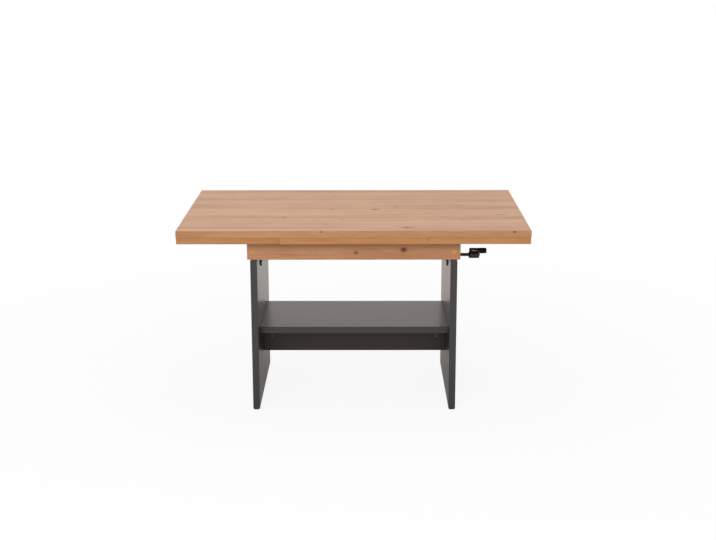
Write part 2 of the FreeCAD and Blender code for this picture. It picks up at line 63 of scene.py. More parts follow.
class Wire:
    # one socket of a node tree, so that shader sums read as sums

    def __init__(self, tree, socket=None):
        self.tree = tree
        self.socket = socket

    def node(self, kind, settings=None, sockets=None, output=0):
        made = self.tree.nodes.new("ShaderNode" + kind)
        for key, value in (settings or {}).items():
            if key == "stops":
                while len(made.color_ramp.elements) < len(value):
                    made.color_ramp.elements.new(0.5)
                for element, (place, colour) in zip(made.color_ramp.elements, value):
                    element.position = place
                    element.color = colour
            else:
                setattr(made, key, value)
        for key, value in (sockets or {}).items():
            if isinstance(value, Wire):
                self.tree.links.new(value.socket, made.inputs[key])
            else:
                made.inputs[key].default_value = value
        return Wire(self.tree, made.outputs[output] if made.outputs else None)

    def maths(self, operation, *values):
        return self.node("Math", {"operation": operation}, dict(enumerate(values)))

    def __add__(self, other):
        return self.maths("ADD", self, other)

    __radd__ = __add__

    def __sub__(self, other):
        return self.maths("SUBTRACT", self, other)

    def __rsub__(self, other):
        return self.maths("SUBTRACT", other, self)

    def __mul__(self, other):
        return self.maths("MULTIPLY", self, other)

    __rmul__ = __mul__

    def __truediv__(self, other):
        return self.maths("DIVIDE", self, other)

    def __rtruediv__(self, other):
        return self.maths("DIVIDE", other, self)

    def __gt__(self, other):
        return self.maths("GREATER_THAN", self, other)

    def __lt__(self, other):
        return self.maths("LESS_THAN", self, other)

    def __abs__(self):
        return self.maths("ABSOLUTE", self)

    def top(self, other):
        return self.maths("MAXIMUM", self, other)

    def swing(self, reach):
        # a value from 0 to 1 made to swing about 0
        return (self - 0.5) * reach

    def step(self, start, end):
        # 0 before start and 1 after end, eased; start above end turns it round
        settings = {"interpolation_type": "SMOOTHSTEP"}
        return self.node("MapRange", settings, {0: self, 1: start, 2: end})

    def parts(self):
        made = self.node("SeparateXYZ", {}, {0: self}).socket.node
        return [Wire(self.tree, out) for out in made.outputs]

    def point(self, x, y, z):
        return self.node("CombineXYZ", {}, {0: x, 1: y, 2: z})

    def noise(self, vector, scale=1.0, detail=2.0, rough=0.5):
        sockets = {"Vector": vector, "Scale": scale, "Detail": detail, "Roughness": rough}
        return self.node("TexNoise", {}, sockets)

    def luck(self, number, output="Value"):
        # one random value, or three as a colour, for each whole number
        return self.node("TexWhiteNoise", {"noise_dimensions": "1D"}, {"W": number}, output)

    def blend(self, share, first, second, mode="MIX"):
        settings = {"data_type": "RGBA", "blend_type": mode}
        return self.node("Mix", settings, {0: share, 6: first, 7: second}, 2)  # colour sockets

    def objectPoint(self):
        return self.node("TexCoord", output="Object")

    def facing(self, axis):
        # 1 where the face looks along X, Y or Z, either way
        normal = self.node("NewGeometry", output="Normal").parts()
        return abs(normal["XYZ".index(axis)]) > squareOn


def startFinish(name):
    material = bpy.data.materials.new(name)
    material.use_nodes = True
    material.node_tree.nodes.clear()
    return material, Wire(material.node_tree)


def closeFinish(material, wire, sockets, height, look):
    bump = {"Strength": look["bump"], "Distance": look["bumpDepth"], "Height": height}
    shader = wire.node("BsdfPrincipled", {}, {**sockets, "Normal": wire.node("Bump", {}, bump)})
    wire.node("OutputMaterial", {}, {"Surface": shader})
    return material


# oak-look boards: growth lines cut from a log, planks, fibres, pores and knots
oakLook = {
    "stops": ((0.12, srgb(160, 107, 72)), (0.5, srgb(197, 146, 106)), (0.86, srgb(214, 168, 128))),
    "pore": srgb(112, 74, 50),
    "knot": srgb(82, 46, 27),
    "knotRim": srgb(140, 84, 50),
    "plankWidth": 0.148,
    "plankShift": 0.09,
    "plankLuck": 7.31,
    "edgeOffset": 3.73,  # the edges and ends are cut from other places of the log
    "endOffset": 1.31,
    "heartSpread": 0.07,
    "heartDepth": 0.045,
    "leastDepth": 0.010,
    "edgeHeart": 0.085,
    "taper": 0.16,
    "driftReach": 0.034,
    "swayReach": 0.0075,
    "ringWidth": 0.0046,
    "ringLuck": 0.75,
    "earlyWood": (0.55, 0.0),
    "poreStep": (0.56, 0.70),
    "poreEarly": 0.8,
    "poreShade": 0.62,
    "joint": (0.0007, 0.0001),
    "jointShade": 0.16,
    # painted shade: a thin darker line on the edges just under a board's top face, for the shade of
    # the seam between boards
    "seamShade": (0.0014, 0.0006),
    "seamShadeWeight": 0.5,
    "rimShade": 0.55,
    "coreShade": 0.92,
    "rough": 0.40,
    "poreRough": 0.16,
    "fibreRough": 0.16,
    "bump": 0.25,
    "bumpDepth": 0.00022,
}

# noise drawn out along the grain; plank makes it another on each plank
oakLayers = {
    "drift": {
        "along": 0.9, "across": 3.1, "plank": 4.7, "noise": {"scale": 1.6},
    },
    "sway": {
        "along": 6.0, "across": 26.0, "plank": 3.3, "noise": {"detail": 3.0, "rough": 0.55},
    },
    "fibres": {
        "along": 14.0, "across": 420.0, "noise": {"detail": 4.0, "rough": 0.6},
    },
    "pores": {
        "along": 95.0, "across": 1500.0, "shift": 3.0, "noise": {"detail": 1.0},
    },
    "cloud": {
        "along": 1.0, "across": 1.0, "seed": 1.37,
        "noise": {"scale": 7.0, "detail": 3.0, "rough": 0.55},
    },
    "streak": {
        "along": 1.3, "across": 24.0, "shift": 5.0, "noise": {"detail": 3.0, "rough": 0.6},
    },
}

# how much each layer lightens or darkens the wood, and raises or sinks it
oakTone = {
    "base": 0.56,
    "cloud": 0.40,
    "streak": 0.95,
    "luck": 0.10,
    "bow": 0.20,  # a plank is darker at its sides
    "bowMean": 0.33,
    "fibres": 0.70,
    "early": 0.20,
}
oakRelief = {"fibres": 0.35, "pores": 0.8, "early": 0.25}

# a knot's bulge in the growth lines, ragged core and rim, and the split through it
knotLook = {
    "bulge": 1.5,
    "bulgeFall": -0.16,
    "sway": 0.8,
    "fibres": 0.7,
    "core": (0.75, 0.40),
    "rim": (1.5, 0.7),
    "splitSway": 0.4,
    "splitWidth": (0.12, 0.03),
    "splitLength": (1.5, 0.7),
    "splitWeight": 0.8,
}


def oakFinish(node, board):
    look, tones, relief = oakLook, oakTone, oakRelief
    seed = board["seed"]
    material, wire = startFinish(board["finish"])
    x, y, z = wire.objectPoint().parts()
    flat, ends = wire.facing("Z"), wire.facing(board["grain"])
    edge = 1 - flat
    run, beside = (x, y) if board["grain"] == "X" else (y, x)
    along = run + ends * (beside - run)
    across = z + flat * (beside - z) + edge * look["edgeOffset"] + ends * look["endOffset"]

    # which plank, and how that plank was sawn
    strip = (across - flat * look["plankShift"]) / look["plankWidth"] + 0.5
    plank = strip.maths("FLOOR", strip)
    local = strip.maths("FRACT", strip).swing(look["plankWidth"])
    plankLuck = wire.luck(plank + seed * look["plankLuck"], "Color")
    shiftLuck, heightLuck, toneLuck = plankLuck.parts()

    def layer(name):
        part = oakLayers[name]
        depth = seed * part.get("seed", 1.0) + part.get("shift", 0.0)
        if "plank" in part:
            depth = plank * part["plank"] + depth
        place = wire.point(along * part["along"], across * part["across"], depth)
        return wire.noise(place, **part["noise"])

    drift, sway, fibres = layer("drift"), layer("sway"), layer("fibres")
    cloud, streak = layer("cloud"), layer("streak")

    # growth lines: distance from the log's heart, bulging round the knots
    side = local - shiftLuck.swing(look["heartSpread"]) + edge * look["edgeHeart"]
    depth = heightLuck * look["heartDepth"] + look["leastDepth"]
    depth = depth + along * toneLuck.swing(look["taper"])
    heart = wire.maths("SQRT", side * side + depth * depth)
    heart = heart + drift.swing(look["driftReach"]) + sway.swing(look["swayReach"])
    core = None
    rim = None
    for knot in board.get("knots", ()):
        radius, weight = knot["radius"], knot.get("weight", 1.0)
        offset = look["edgeOffset"] if knot.get("face") == "edge" else 0.0
        dx = (along - knot["along"]) / (radius * knot["stretch"])
        dy = (across - (knot["across"] + offset)) / radius
        far = dx * dx + dy * dy
        swell = wire.maths("EXPONENT", far * knotLook["bulgeFall"])
        heart = heart + swell * (radius * knotLook["bulge"])
        ragged = wire.maths("SQRT", far) + sway.swing(knotLook["sway"])
        ragged = ragged + fibres.swing(knotLook["fibres"])
        split = abs(dy + sway.swing(knotLook["splitSway"])).step(*knotLook["splitWidth"])
        split = split * abs(dx).step(*knotLook["splitLength"]) * knotLook["splitWeight"]
        thisCore = ragged.step(*knotLook["core"]).top(split) * weight
        thisRim = ragged.step(*knotLook["rim"]) * weight
        core = thisCore if core is None else core.top(thisCore)
        rim = thisRim if rim is None else rim.top(thisRim)
    rings = heart / look["ringWidth"]
    ringLuck = wire.luck(rings.maths("FLOOR", rings)) * look["ringLuck"] + (1 - look["ringLuck"])
    early = rings.maths("FRACT", rings).step(*look["earlyWood"]) * ringLuck
    pores = layer("pores").step(*look["poreStep"])
    pores = pores * (early * look["poreEarly"] + (1 - look["poreEarly"]))

    bow = local * (2 / look["plankWidth"])  # -1 to 1 across a plank
    tone = tones["base"] + cloud.swing(tones["cloud"]) + streak.swing(tones["streak"])
    tone = tone + toneLuck.swing(tones["luck"]) * flat
    tone = tone + (tones["bowMean"] - bow * bow) * tones["bow"] * flat
    tone = tone + fibres.swing(tones["fibres"]) - early * tones["early"]
    colour = wire.node("ValToRGB", {"stops": look["stops"]}, {0: tone})
    colour = wire.blend(pores * look["poreShade"], colour, look["pore"])
    joint = (look["plankWidth"] / 2 - abs(local)).step(*look["joint"]) * flat
    colour = wire.blend(joint * look["jointShade"], colour, look["pore"])
    if core is not None:
        colour = wire.blend(rim * look["rimShade"], colour, look["knotRim"])
        colour = wire.blend(core * look["coreShade"], colour, look["knot"])
    if board.get("seamShaded"):  # painted shade of the seam between boards: a thin darker line on the edges just under the board's top face
        seamShade = (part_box(node)[1].z - z).step(*look["seamShade"]) * edge
        colour = wire.blend(seamShade * look["seamShadeWeight"], colour, look["pore"])
    tint = wire.blend(flat, board["edgeTint"], white)
    colour = wire.blend(1.0, colour, tint, "MULTIPLY")
    rough = look["rough"] + pores * look["poreRough"] + fibres.swing(look["fibreRough"])
    height = fibres * relief["fibres"] - pores * relief["pores"] - early * relief["early"]
    sockets = {"Base Color": colour, "Roughness": rough}
    return closeFinish(material, wire, sockets, height, look)


# knots of each board, in metres along and across its face
slabKnots = [
    {"along": -0.225, "across": -0.136, "radius": 0.006, "stretch": 1.9},
    {"along": -0.071, "across": -0.004, "radius": 0.006, "stretch": 1.9, "weight": 0.7},
    {"along": -0.038, "across": -0.176, "radius": 0.005, "stretch": 1.4, "weight": 0.5},
    {"along": 0.069, "across": -0.010, "radius": 0.0075, "stretch": 2.1},
    {"along": 0.139, "across": 0.038, "radius": 0.007, "stretch": 1.6, "weight": 0.6},
    {"along": 0.167, "across": -0.288, "radius": 0.0105, "stretch": 2.1},
    {"along": 0.352, "across": -0.168, "radius": 0.006, "stretch": 2.0, "weight": 0.5},
    {"along": 0.480, "across": -0.096, "radius": 0.008, "stretch": 2.4, "weight": 0.6},
    {"along": -0.369, "across": 0.225, "radius": 0.007, "stretch": 2.0, "weight": 0.4},
    {
        "face": "edge", "along": -0.100, "across": 0.619,
        "radius": 0.0035, "stretch": 1.6, "weight": 0.6,
    },
    {
        "face": "edge", "along": 0.497, "across": 0.619,
        "radius": 0.0038, "stretch": 1.6, "weight": 0.8,
    },
]
frontApronKnots = [
    {"face": "edge", "along": 0.158, "across": 0.541, "radius": 0.0095, "stretch": 1.15},
    {
        "face": "edge", "along": 0.007, "across": 0.532,
        "radius": 0.006, "stretch": 1.3, "weight": 0.7,
    },
]
rearApronKnots = [
    {"face": "edge", "along": -0.205, "across": 0.548, "radius": 0.008, "stretch": 1.3},
]
leafKnots = [
    {"along": 0.402, "across": 0.118, "radius": 0.008, "stretch": 1.8},
]

# each oak board: its grain's seed and way, its knots, the tint of its edges, and whether its edges
# get the painted seam shade under its top face
slabTint = (1.0, 0.94, 0.84, 1.0)
lowerTint = (0.98, 0.85, 0.63, 1.0)
apronTint = (1.08, 1.03, 0.98, 1.0)
boards = {
    "top_slab": {
        "finish": "oak_slab", "seed": 1.0, "grain": "X", "edgeTint": slabTint,
        "knots": slabKnots, "seamShaded": True,
    },
    "centre_board": {
        "finish": "oak_centre_board", "seed": 2.0, "grain": "X", "edgeTint": lowerTint,
        "seamShaded": True,
    },
    "right_leaf": {
        "finish": "oak_right_leaf", "seed": 3.0, "grain": "X", "edgeTint": lowerTint,
        "knots": leafKnots,
    },
    "left_leaf": {
        "finish": "oak_left_leaf", "seed": 4.0, "grain": "X", "edgeTint": lowerTint,
    },
    "front_apron": {
        "finish": "oak_front_apron", "seed": 6.23, "grain": "X", "edgeTint": apronTint,
        "knots": frontApronKnots,
    },
    "rear_apron": {
        "finish": "oak_rear_apron", "seed": 6.0, "grain": "X", "edgeTint": apronTint,
        "knots": rearApronKnots,
    },
    "left_apron_end": {
        "finish": "oak_left_apron_end", "seed": 7.0, "grain": "Y", "edgeTint": apronTint,
    },
    "right_apron_end": {
        "finish": "oak_right_apron_end", "seed": 8.0, "grain": "Y", "edgeTint": apronTint,
    },
}


# satin laminate of the panels and the shelf, with a cooler band on the front and back edges
anthraciteLook = {
    "finish": "satin_anthracite_laminate",
    "deep": srgb(51, 50, 50),
    "pale": srgb(60, 59, 59),
    "band": (1.14, 1.22, 1.24, 1.0),
    "pearl": {"scale": 620.0, "detail": 3.0, "rough": 0.6},
    "cloud": {"scale": 9.0, "detail": 3.0},
    "pearlShare": 0.6,
    "rough": 0.29,
    "pearlRough": 0.06,
    "cloudRough": 0.05,
    "ior": 1.5,
    "bump": 0.025,
    "bumpDepth": 0.0001,
}
# painted shade: a darker copy of the panels' laminate, without the edge band, for the rail in the
# shelf's shade
railLook = {
    **anthraciteLook,
    "finish": "shaded_anthracite_laminate",
    "deep": srgb(45, 38, 39),
    "pale": srgb(53, 45, 46),
    "band": white,
    "rough": 0.34,
}


def anthraciteFinish(look):
    material, wire = startFinish(look["finish"])
    place = wire.objectPoint()
    pearl = wire.noise(place, **look["pearl"])
    cloud = wire.noise(place, **look["cloud"])
    share = pearl * look["pearlShare"] + cloud * (1 - look["pearlShare"])
    colour = wire.blend(share, look["deep"], look["pale"])
    tint = wire.blend(wire.facing("Y"), white, look["band"])
    colour = wire.blend(1.0, colour, tint, "MULTIPLY")
    rough = look["rough"] + pearl.swing(look["pearlRough"]) + cloud.swing(look["cloudRough"])
    sockets = {"Base Color": colour, "Roughness": rough, "IOR": look["ior"]}
    return closeFinish(material, wire, sockets, pearl, look)


# planed beech of the runners, stops, corner blocks and dowels
beechLook = {
    "finish": "planed_beech",
    "dark": srgb(186, 138, 98),
    "light": srgb(222, 180, 138),
    "fleck": srgb(150, 102, 68),
    "grain": (3.0, 70.0, 3.0),  # scale along the grain and across it, and detail
    "fine": (30.0, 700.0, 2.0),
    "flecks": (240.0, 1300.0, 1.0),
    "grainShare": 0.7,
    "fleckStep": (0.62, 0.72),
    "fleckShade": 0.55,
    "fleckSink": 0.5,
    "rough": 0.55,
    "fineRough": 0.2,
    "bump": 0.2,
    "bumpDepth": 0.0002,
}


def beechFinish(look):
    material, wire = startFinish(look["finish"])
    x, y, z = wire.objectPoint().parts()

    def layer(along, across, detail):
        return wire.noise(wire.point(x * along, y * across, z * across), detail=detail)

    grain, fine = layer(*look["grain"]), layer(*look["fine"])
    fleck = layer(*look["flecks"]).step(*look["fleckStep"])
    share = grain * look["grainShare"] + fine * (1 - look["grainShare"])
    colour = wire.blend(share, look["dark"], look["light"])
    colour = wire.blend(fleck * look["fleckShade"], colour, look["fleck"])
    sockets = {"Base Color": colour, "Roughness": look["rough"] + fine.swing(look["fineRough"])}
    return closeFinish(material, wire, sockets, fine - fleck * look["fleckSink"], look)


# moulded caps coloured to go with the oak, with a faint printed grain
capLook = {
    "finish": "oak_coloured_plastic",
    "dark": srgb(214, 150, 84),
    "light": srgb(234, 174, 104),
    "lineScale": (25.0, 25.0, 600.0),
    "lineDetail": 3.0,
    "rough": 0.38,
    "lineRough": 0.1,
    "bump": 0.05,
    "bumpDepth": 0.0001,
}


def capFinish(look):
    material, wire = startFinish(look["finish"])
    drawn = [part * scale for part, scale in zip(wire.objectPoint().parts(), look["lineScale"])]
    lines = wire.noise(wire.point(*drawn), detail=look["lineDetail"])
    colour = wire.blend(lines, look["dark"], look["light"])
    sockets = {"Base Color": colour, "Roughness": look["rough"] + lines.swing(look["lineRough"])}
    return closeFinish(material, wire, sockets, lines, look)


# coats, platings and mouldings with a fine even grain; each says how it differs from the plain one
plainCoat = {
    "metal": 0.0,
    "gloss": 0.5,
    "bump": 0.15,
    "bumpDepth": 0.0001,
    "grain": {"detail": 2.0, "rough": 0.55},
    "grainShare": 0.5,
    "grainRough": 0.2,
    "cloud": {"scale": 22.0},
    "cloudRough": 0.1,
}
coats = {
    "black_steel": {
        "finish": "black_powder_coat", "deep": srgb(38, 37, 37), "pale": srgb(50, 49, 49),
        "rough": 0.46, "grainScale": 900.0,
    },
    "zinc_steel": {
        "finish": "zinc_plate", "deep": srgb(150, 151, 150), "pale": srgb(186, 187, 188),
        "rough": 0.34, "grainScale": 240.0, "metal": 1.0, "bump": 0.05,
    },
    "blackened_steel": {
        "finish": "blackened_steel", "deep": srgb(50, 46, 44), "pale": srgb(68, 63, 60),
        "rough": 0.40, "grainScale": 320.0, "bump": 0.06, "gloss": 0.4,
    },
    "black_plastic": {
        "finish": "moulded_black_plastic", "deep": srgb(19, 19, 20), "pale": srgb(27, 27, 28),
        "rough": 0.55, "grainScale": 1600.0, "gloss": 0.2,
    },
    "nylon": {
        "finish": "natural_nylon", "deep": srgb(212, 208, 196), "pale": srgb(228, 225, 214),
        "rough": 0.42, "grainScale": 500.0, "bump": 0.06,
    },
    "rubber": {
        "finish": "matt_rubber", "deep": srgb(34, 34, 34), "pale": srgb(46, 46, 46),
        "rough": 0.78, "grainScale": 1100.0,
    },
    "cam_cover": {
        "finish": "dull_cam_cover", "deep": srgb(88, 86, 86), "pale": srgb(104, 101, 101),
        "rough": 0.40, "grainScale": 500.0,
    },
}
crankCoat = {
    "finish": "moulded_crank_plastic", "deep": srgb(22, 20, 19), "pale": srgb(32, 29, 28),
    "rough": 0.34, "grainScale": 1600.0, "gloss": 0.6,
}


def coatFinish(coat):
    look = {**plainCoat, **coat}
    material, wire = startFinish(look["finish"])
    place = wire.objectPoint()
    grain = wire.noise(place, look["grainScale"], **look["grain"])
    cloud = wire.noise(place, **look["cloud"])
    share = grain * look["grainShare"] + cloud * (1 - look["grainShare"])
    rough = look["rough"] + grain.swing(look["grainRough"]) + cloud.swing(look["cloudRough"])
    sockets = {
        "Base Color": wire.blend(share, look["deep"], look["pale"]),
        "Roughness": rough,
        "Metallic": look["metal"],
        "Specular IOR Level": look["gloss"],
    }
    return closeFinish(material, wire, sockets, grain, look)


# a finish for each slot, and for nodes that have one of their own
finishes = {slot: coatFinish(coat) for slot, coat in coats.items()}
finishes["anthracite"] = anthraciteFinish(anthraciteLook)
finishes["beech"] = beechFinish(beechLook)
finishes["cap_plastic"] = capFinish(capLook)
nodeFinishes = {node: oakFinish(node, board) for node, board in boards.items()}
nodeFinishes["shelf_rail"] = anthraciteFinish(railLook)
nodeFinishes["crank"] = coatFinish(crankCoat)
for name, node in nodes.items():
    node.data.materials.clear()
    node.data.materials.append(nodeFinishes.get(name) or finishes[slotOf[name]])
print("finishes:", len(finishes) + len(nodeFinishes))


# modelling steps shared by the small pieces
craft = {
    "mergeGap": 0.000002,
    "smoothAngle": math.radians(34),
    "crossTaper": (0.62, 0.8, 1.0),  # a driver's cross at its floor
    "endShare": 0.42,  # of a fastener's length: points further from its middle are at an end
}


def clearSelection():
    if bpy.context.object and bpy.context.object.mode != "OBJECT":
        bpy.ops.object.mode_set(mode="OBJECT")
    bpy.ops.object.select_all(action="DESELECT")


def takeUp(*pieces):
    # selects these pieces alone, the first one active
    clearSelection()
    for piece in pieces:
        piece.select_set(True)
    bpy.context.view_layer.objects.active = pieces[0]


def drawLine(name, points):
    # a plane merged to one vertex, which is drawn along pairs of radius and height
    clearSelection()
    bpy.ops.mesh.primitive_plane_add(size=0.001)
    piece = bpy.context.object
    piece.name = name
    bpy.ops.object.mode_set(mode="EDIT")
    bpy.ops.mesh.select_mode(type="VERT")
    bpy.ops.mesh.select_all(action="SELECT")
    bpy.ops.mesh.merge(type="CENTER")
    bpy.ops.transform.translate(value=(points[0][0], 0, points[0][1]))
    for start, end in zip(points, points[1:]):
        move = (end[0] - start[0], 0, end[1] - start[1])
        bpy.ops.mesh.extrude_region_move(TRANSFORM_OT_translate={"value": move})
    bpy.ops.mesh.select_all(action="SELECT")
    return piece


def closeShell():
    bpy.ops.mesh.select_all(action="SELECT")
    bpy.ops.mesh.remove_doubles(threshold=craft["mergeGap"])
    bpy.ops.mesh.normals_make_consistent(inside=False)
    bpy.ops.object.mode_set(mode="OBJECT")


def turnProfile(name, profile, sides):
    # a line of radius and height, spun round Z
    piece = drawLine(name, profile)
    bpy.ops.mesh.spin(steps=sides, angle=math.tau, center=(0, 0, 0), axis=(0, 0, 1))
    closeShell()
    return piece


def windThread(name, ridge, rise, turns, start, steps):
    # a closed ridge of radius and height, carried up a right-hand helix round Z
    piece = drawLine(name, [(radius, height + start) for radius, height in (*ridge, ridge[0])])
    bpy.ops.mesh.remove_doubles(threshold=craft["mergeGap"])
    bpy.ops.object.mode_set(mode="OBJECT")
    screw = piece.modifiers.new("wind", "SCREW")
    screw.axis = "Z"
    screw.screw_offset = rise
    screw.iterations = turns
    screw.steps = steps
    screw.render_steps = steps
    bpy.ops.object.modifier_apply(modifier=screw.name)
    bpy.ops.object.mode_set(mode="EDIT")
    bpy.ops.mesh.select_all(action="SELECT")
    bpy.ops.mesh.remove_doubles(threshold=craft["mergeGap"])
    bpy.ops.mesh.fill_holes(sides=len(ridge))
    closeShell()
    return piece


def domed(pairs, radius, height=1.0):
    # a profile from a dome's top, by shares of its radius and height, or depths without a height
    return [(0, 0)] + [(radius * out, -height * down) for out, down in pairs]


def sinkCross(piece, look, top):
    # a driver's cross, drawn in towards its floor, cut into the face at this height
    size = (look["crossReach"] * 2, look["crossWidth"], look["crossDepth"] * 2)
    for turn in (0.0, math.pi / 2):
        clearSelection()
        bpy.ops.mesh.primitive_cube_add(size=1.0, location=(0, 0, top))
        cutter = bpy.context.object
        bpy.ops.object.mode_set(mode="EDIT")
        bpy.ops.transform.resize(value=size, center_override=(0, 0, 0))
        shape = bmesh.from_edit_mesh(cutter.data)
        for face in shape.faces:
            face.select_set(face.normal.z < -squareOn)
        bmesh.update_edit_mesh(cutter.data)
        bpy.ops.transform.resize(value=craft["crossTaper"], center_override=(0, 0, 0))
        bpy.ops.mesh.select_all(action="SELECT")
        bpy.ops.transform.rotate(value=turn, orient_axis="Z", center_override=(0, 0, 0))
        bpy.ops.object.mode_set(mode="OBJECT")
        takeUp(piece)
        cut = piece.modifiers.new("cross", "BOOLEAN")
        cut.operation = "DIFFERENCE"
        cut.solver = "EXACT"
        cut.object = cutter
        bpy.ops.object.modifier_apply(modifier=cut.name)
        bpy.data.objects.remove(cutter)


def settle(piece, place, facing):
    # turns the piece's Z towards the facing, and puts its origin at the place
    takeUp(piece)
    piece.rotation_euler = Vector((0, 0, 1)).rotation_difference(Vector(facing)).to_euler()
    piece.location = place
    bpy.ops.object.transform_apply(location=True, rotation=True, scale=True)


def joinAll(name, pieces):
    takeUp(*pieces)
    if len(pieces) > 1:
        bpy.ops.object.join()
    pieces[0].name = name
    return pieces[0]


def finishPiece(piece, slot, body, *replaced, finish=None):
    takeUp(piece)
    bpy.ops.object.shade_smooth_by_angle(angle=craft["smoothAngle"])
    piece.data.materials.clear()
    piece.data.materials.append(finishes[finish or slot])
    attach(piece, body)
    if replaced:
        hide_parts(*replaced)


def solidsOf(name):
    # the points of each separate solid of a node
    shape = bmesh.new()
    shape.from_mesh(nodes[name].data)
    bmesh.ops.remove_doubles(shape, verts=shape.verts, dist=craft["mergeGap"] / 2)
    seen = set()
    found = []
    for first in shape.verts:
        if first in seen:
            continue
        seen.add(first)
        group = [first]
        for vertex in group:
            near = [edge.other_vert(vertex) for edge in vertex.link_edges]
            fresh = [other for other in near if other not in seen]
            seen.update(fresh)
            group.extend(fresh)
        found.append([vertex.co.copy() for vertex in group])
    shape.free()
    return found


def boxOf(points):
    axes = list(zip(*points))
    return Vector([min(axis) for axis in axes]), Vector([max(axis) for axis in axes])


def seatOn(low, high, axis, side):
    # the middle of one end of a box, the way that end faces, and the length behind it
    facing = Vector((0, 0, 0))
    facing[axis] = side
    place = (low + high) / 2
    place[axis] = high[axis] if side > 0 else low[axis]
    return {"place": place, "facing": facing, "length": high[axis] - low[axis]}


def headSide(points, axis):
    # 1 or -1: the end where a fastener is wider
    low, high = boxOf(points)
    reach = {1: 0.0, -1: 0.0}
    for point in points:
        off = point - (low + high) / 2
        side = 1 if off[axis] > 0 else -1
        if abs(off[axis]) > (high - low)[axis] * craft["endShare"]:
            off[axis] = 0
            reach[side] = max(reach[side], off.length)
    return 1 if reach[1] > reach[-1] else -1


def fastenersOf(name, axis=None):
    # a seat at the head of each fastener of a node, along its longest way if no axis is given
    seats = []
    for points in solidsOf(name):
        low, high = boxOf(points)
        size = list(high - low)
        way = size.index(max(size)) if axis is None else axis
        seats.append(seatOn(low, high, way, headSide(points, way)))
    return sorted(seats, key=lambda seat: tuple(seat["place"]))


def copiesAt(pattern, seats):
    # a copy of the pattern piece at each seat, and the pattern is deleted
    copies = []
    for seat in seats:
        takeUp(pattern)
        bpy.ops.object.duplicate(linked=False)
        copies.append(bpy.context.object)
        settle(copies[-1], seat["place"], seat["facing"])
    bpy.data.objects.remove(pattern)
    return copies


def placeCopies(name, pattern, seats, slot, node, finish=None):
    # the copies make one piece that stands for the node
    piece = joinAll(name, copiesAt(pattern, seats))
    finishPiece(piece, slot, bodyOf[node], node, finish=finish)


# wood screws: domed head with a cross, threaded shank and a point
woodScrew = {
    "headRadius": 0.0038,
    "headHeight": 0.0024,
    "dome": ((0.42, 0.00008), (0.74, 0.0004), (0.93, 0.001), (1.0, 0.0017)),
    "underShare": 0.97,
    "coreRadius": 0.00125,
    "neck": ((1.3, 0.0), (1.2, 0.0008), (1.0, 0.0015)),
    "plainNeck": 0.003,
    "point": 0.0035,
    "pitch": 0.002,
    "threadRadius": 0.0018,
    "threadRoot": 0.9,
    "threadHalf": 0.18,
    "threadSteps": 14,
    "crossReach": 0.0022,
    "crossWidth": 0.0009,
    "crossDepth": 0.0014,
    "sides": 20,
}
screwNodes = [
    "underside_screws",
    "bracket_screws",
    "apron_screws",
    "right_runner_screws",
    "left_runner_screws",
]


def makeWoodScrew(length, look):
    head, core, pitch = look["headRadius"], look["coreRadius"], look["pitch"]
    under, point = -look["headHeight"], look["point"] - length
    profile = domed(look["dome"], head) + [(head * look["underShare"], under)]
    profile += [(core * share, under - drop) for share, drop in look["neck"]]
    profile += [(core, point), (0, -length)]
    screw = turnProfile("wood_screw", profile, look["sides"])
    sinkCross(screw, look, 0.0)
    threaded = length - look["headHeight"] - look["plainNeck"] - look["point"]
    root, half = core * look["threadRoot"], pitch * look["threadHalf"]
    ridge = [(root, -half), (look["threadRadius"], 0), (root, half)]
    turns = int(threaded / pitch)
    thread = windThread("screw_thread", ridge, pitch, turns, point, look["threadSteps"])
    return joinAll("wood_screw", [screw, thread])


screwCount = 0
for node in screwNodes:
    byLength = {}
    for seat in fastenersOf(node):
        byLength.setdefault(round(seat["length"], 4), []).append(seat)
    screws = []
    for length, seats in byLength.items():
        screws += copiesAt(makeWoodScrew(length, woodScrew), seats)
    screwCount += len(screws)
    finishPiece(joinAll(node[:-1] + "_set", screws), "zinc_steel", bodyOf[node], node)
print("screws:", screwCount)


# cam locks: a raised rim round a sunk face with a cross for the driver
camLock = {
    "radius": 0.0075,
    "rim": 0.0010,
    "sink": 0.0005,
    "ease": 0.0003,
    "depth": 0.0125,
    "footEase": 0.0006,
    "crossReach": 0.0043,
    "crossWidth": 0.0017,
    "crossDepth": 0.0030,
    "sides": 36,
}


def makeCamLock(look):
    radius, ease = look["radius"], look["ease"]
    face, foot = -look["sink"], -look["depth"]
    inside = radius - look["rim"]
    profile = [(0, face), (inside - ease, face), (inside, 0), (radius - ease, 0), (radius, -ease)]
    profile += [(radius, foot + look["footEase"]), (radius - look["footEase"], foot), (0, foot)]
    lock = turnProfile("cam_lock", profile, look["sides"])
    sinkCross(lock, look, 0.0)
    return lock


def camSeatsOf(name):
    # locks in the shelf face down, and those in the rail face the front
    seats = []
    for points in solidsOf(name):
        low, high = boxOf(points)
        inShelf = (low + high).z / 2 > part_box("shelf")[0].z
        seats.append(seatOn(low, high, 2 if inShelf else 1, -1))
    return seats


camSeats = camSeatsOf("cam_locks")
placeCopies(
    "cam_lock_set", makeCamLock(camLock), camSeats, "blackened_steel", "cam_locks", "cam_cover"
)
print("cam locks:", len(camSeats))


# caps over the apron screws: a low dome on a stem
apronCap = {
    "radius": 0.008,
    "rise": 0.0015,
    "dome": ((0.40, 0.06), (0.68, 0.20), (0.86, 0.42), (0.96, 0.70), (1.0, 1.0)),
    "stemRadius": 0.0035,
    "stem": 0.004,
    "sides": 40,
}


def makeApronCap(look):
    under, stem = -look["rise"], look["stemRadius"]
    foot = under - look["stem"]
    profile = domed(look["dome"], look["radius"], look["rise"])
    profile += [(stem, under), (stem, foot), (0, foot)]
    return turnProfile("apron_cap", profile, look["sides"])


capSeats = fastenersOf("screw_caps", 1)
placeCopies("apron_cap_set", makeApronCap(apronCap), capSeats, "cap_plastic", "screw_caps")


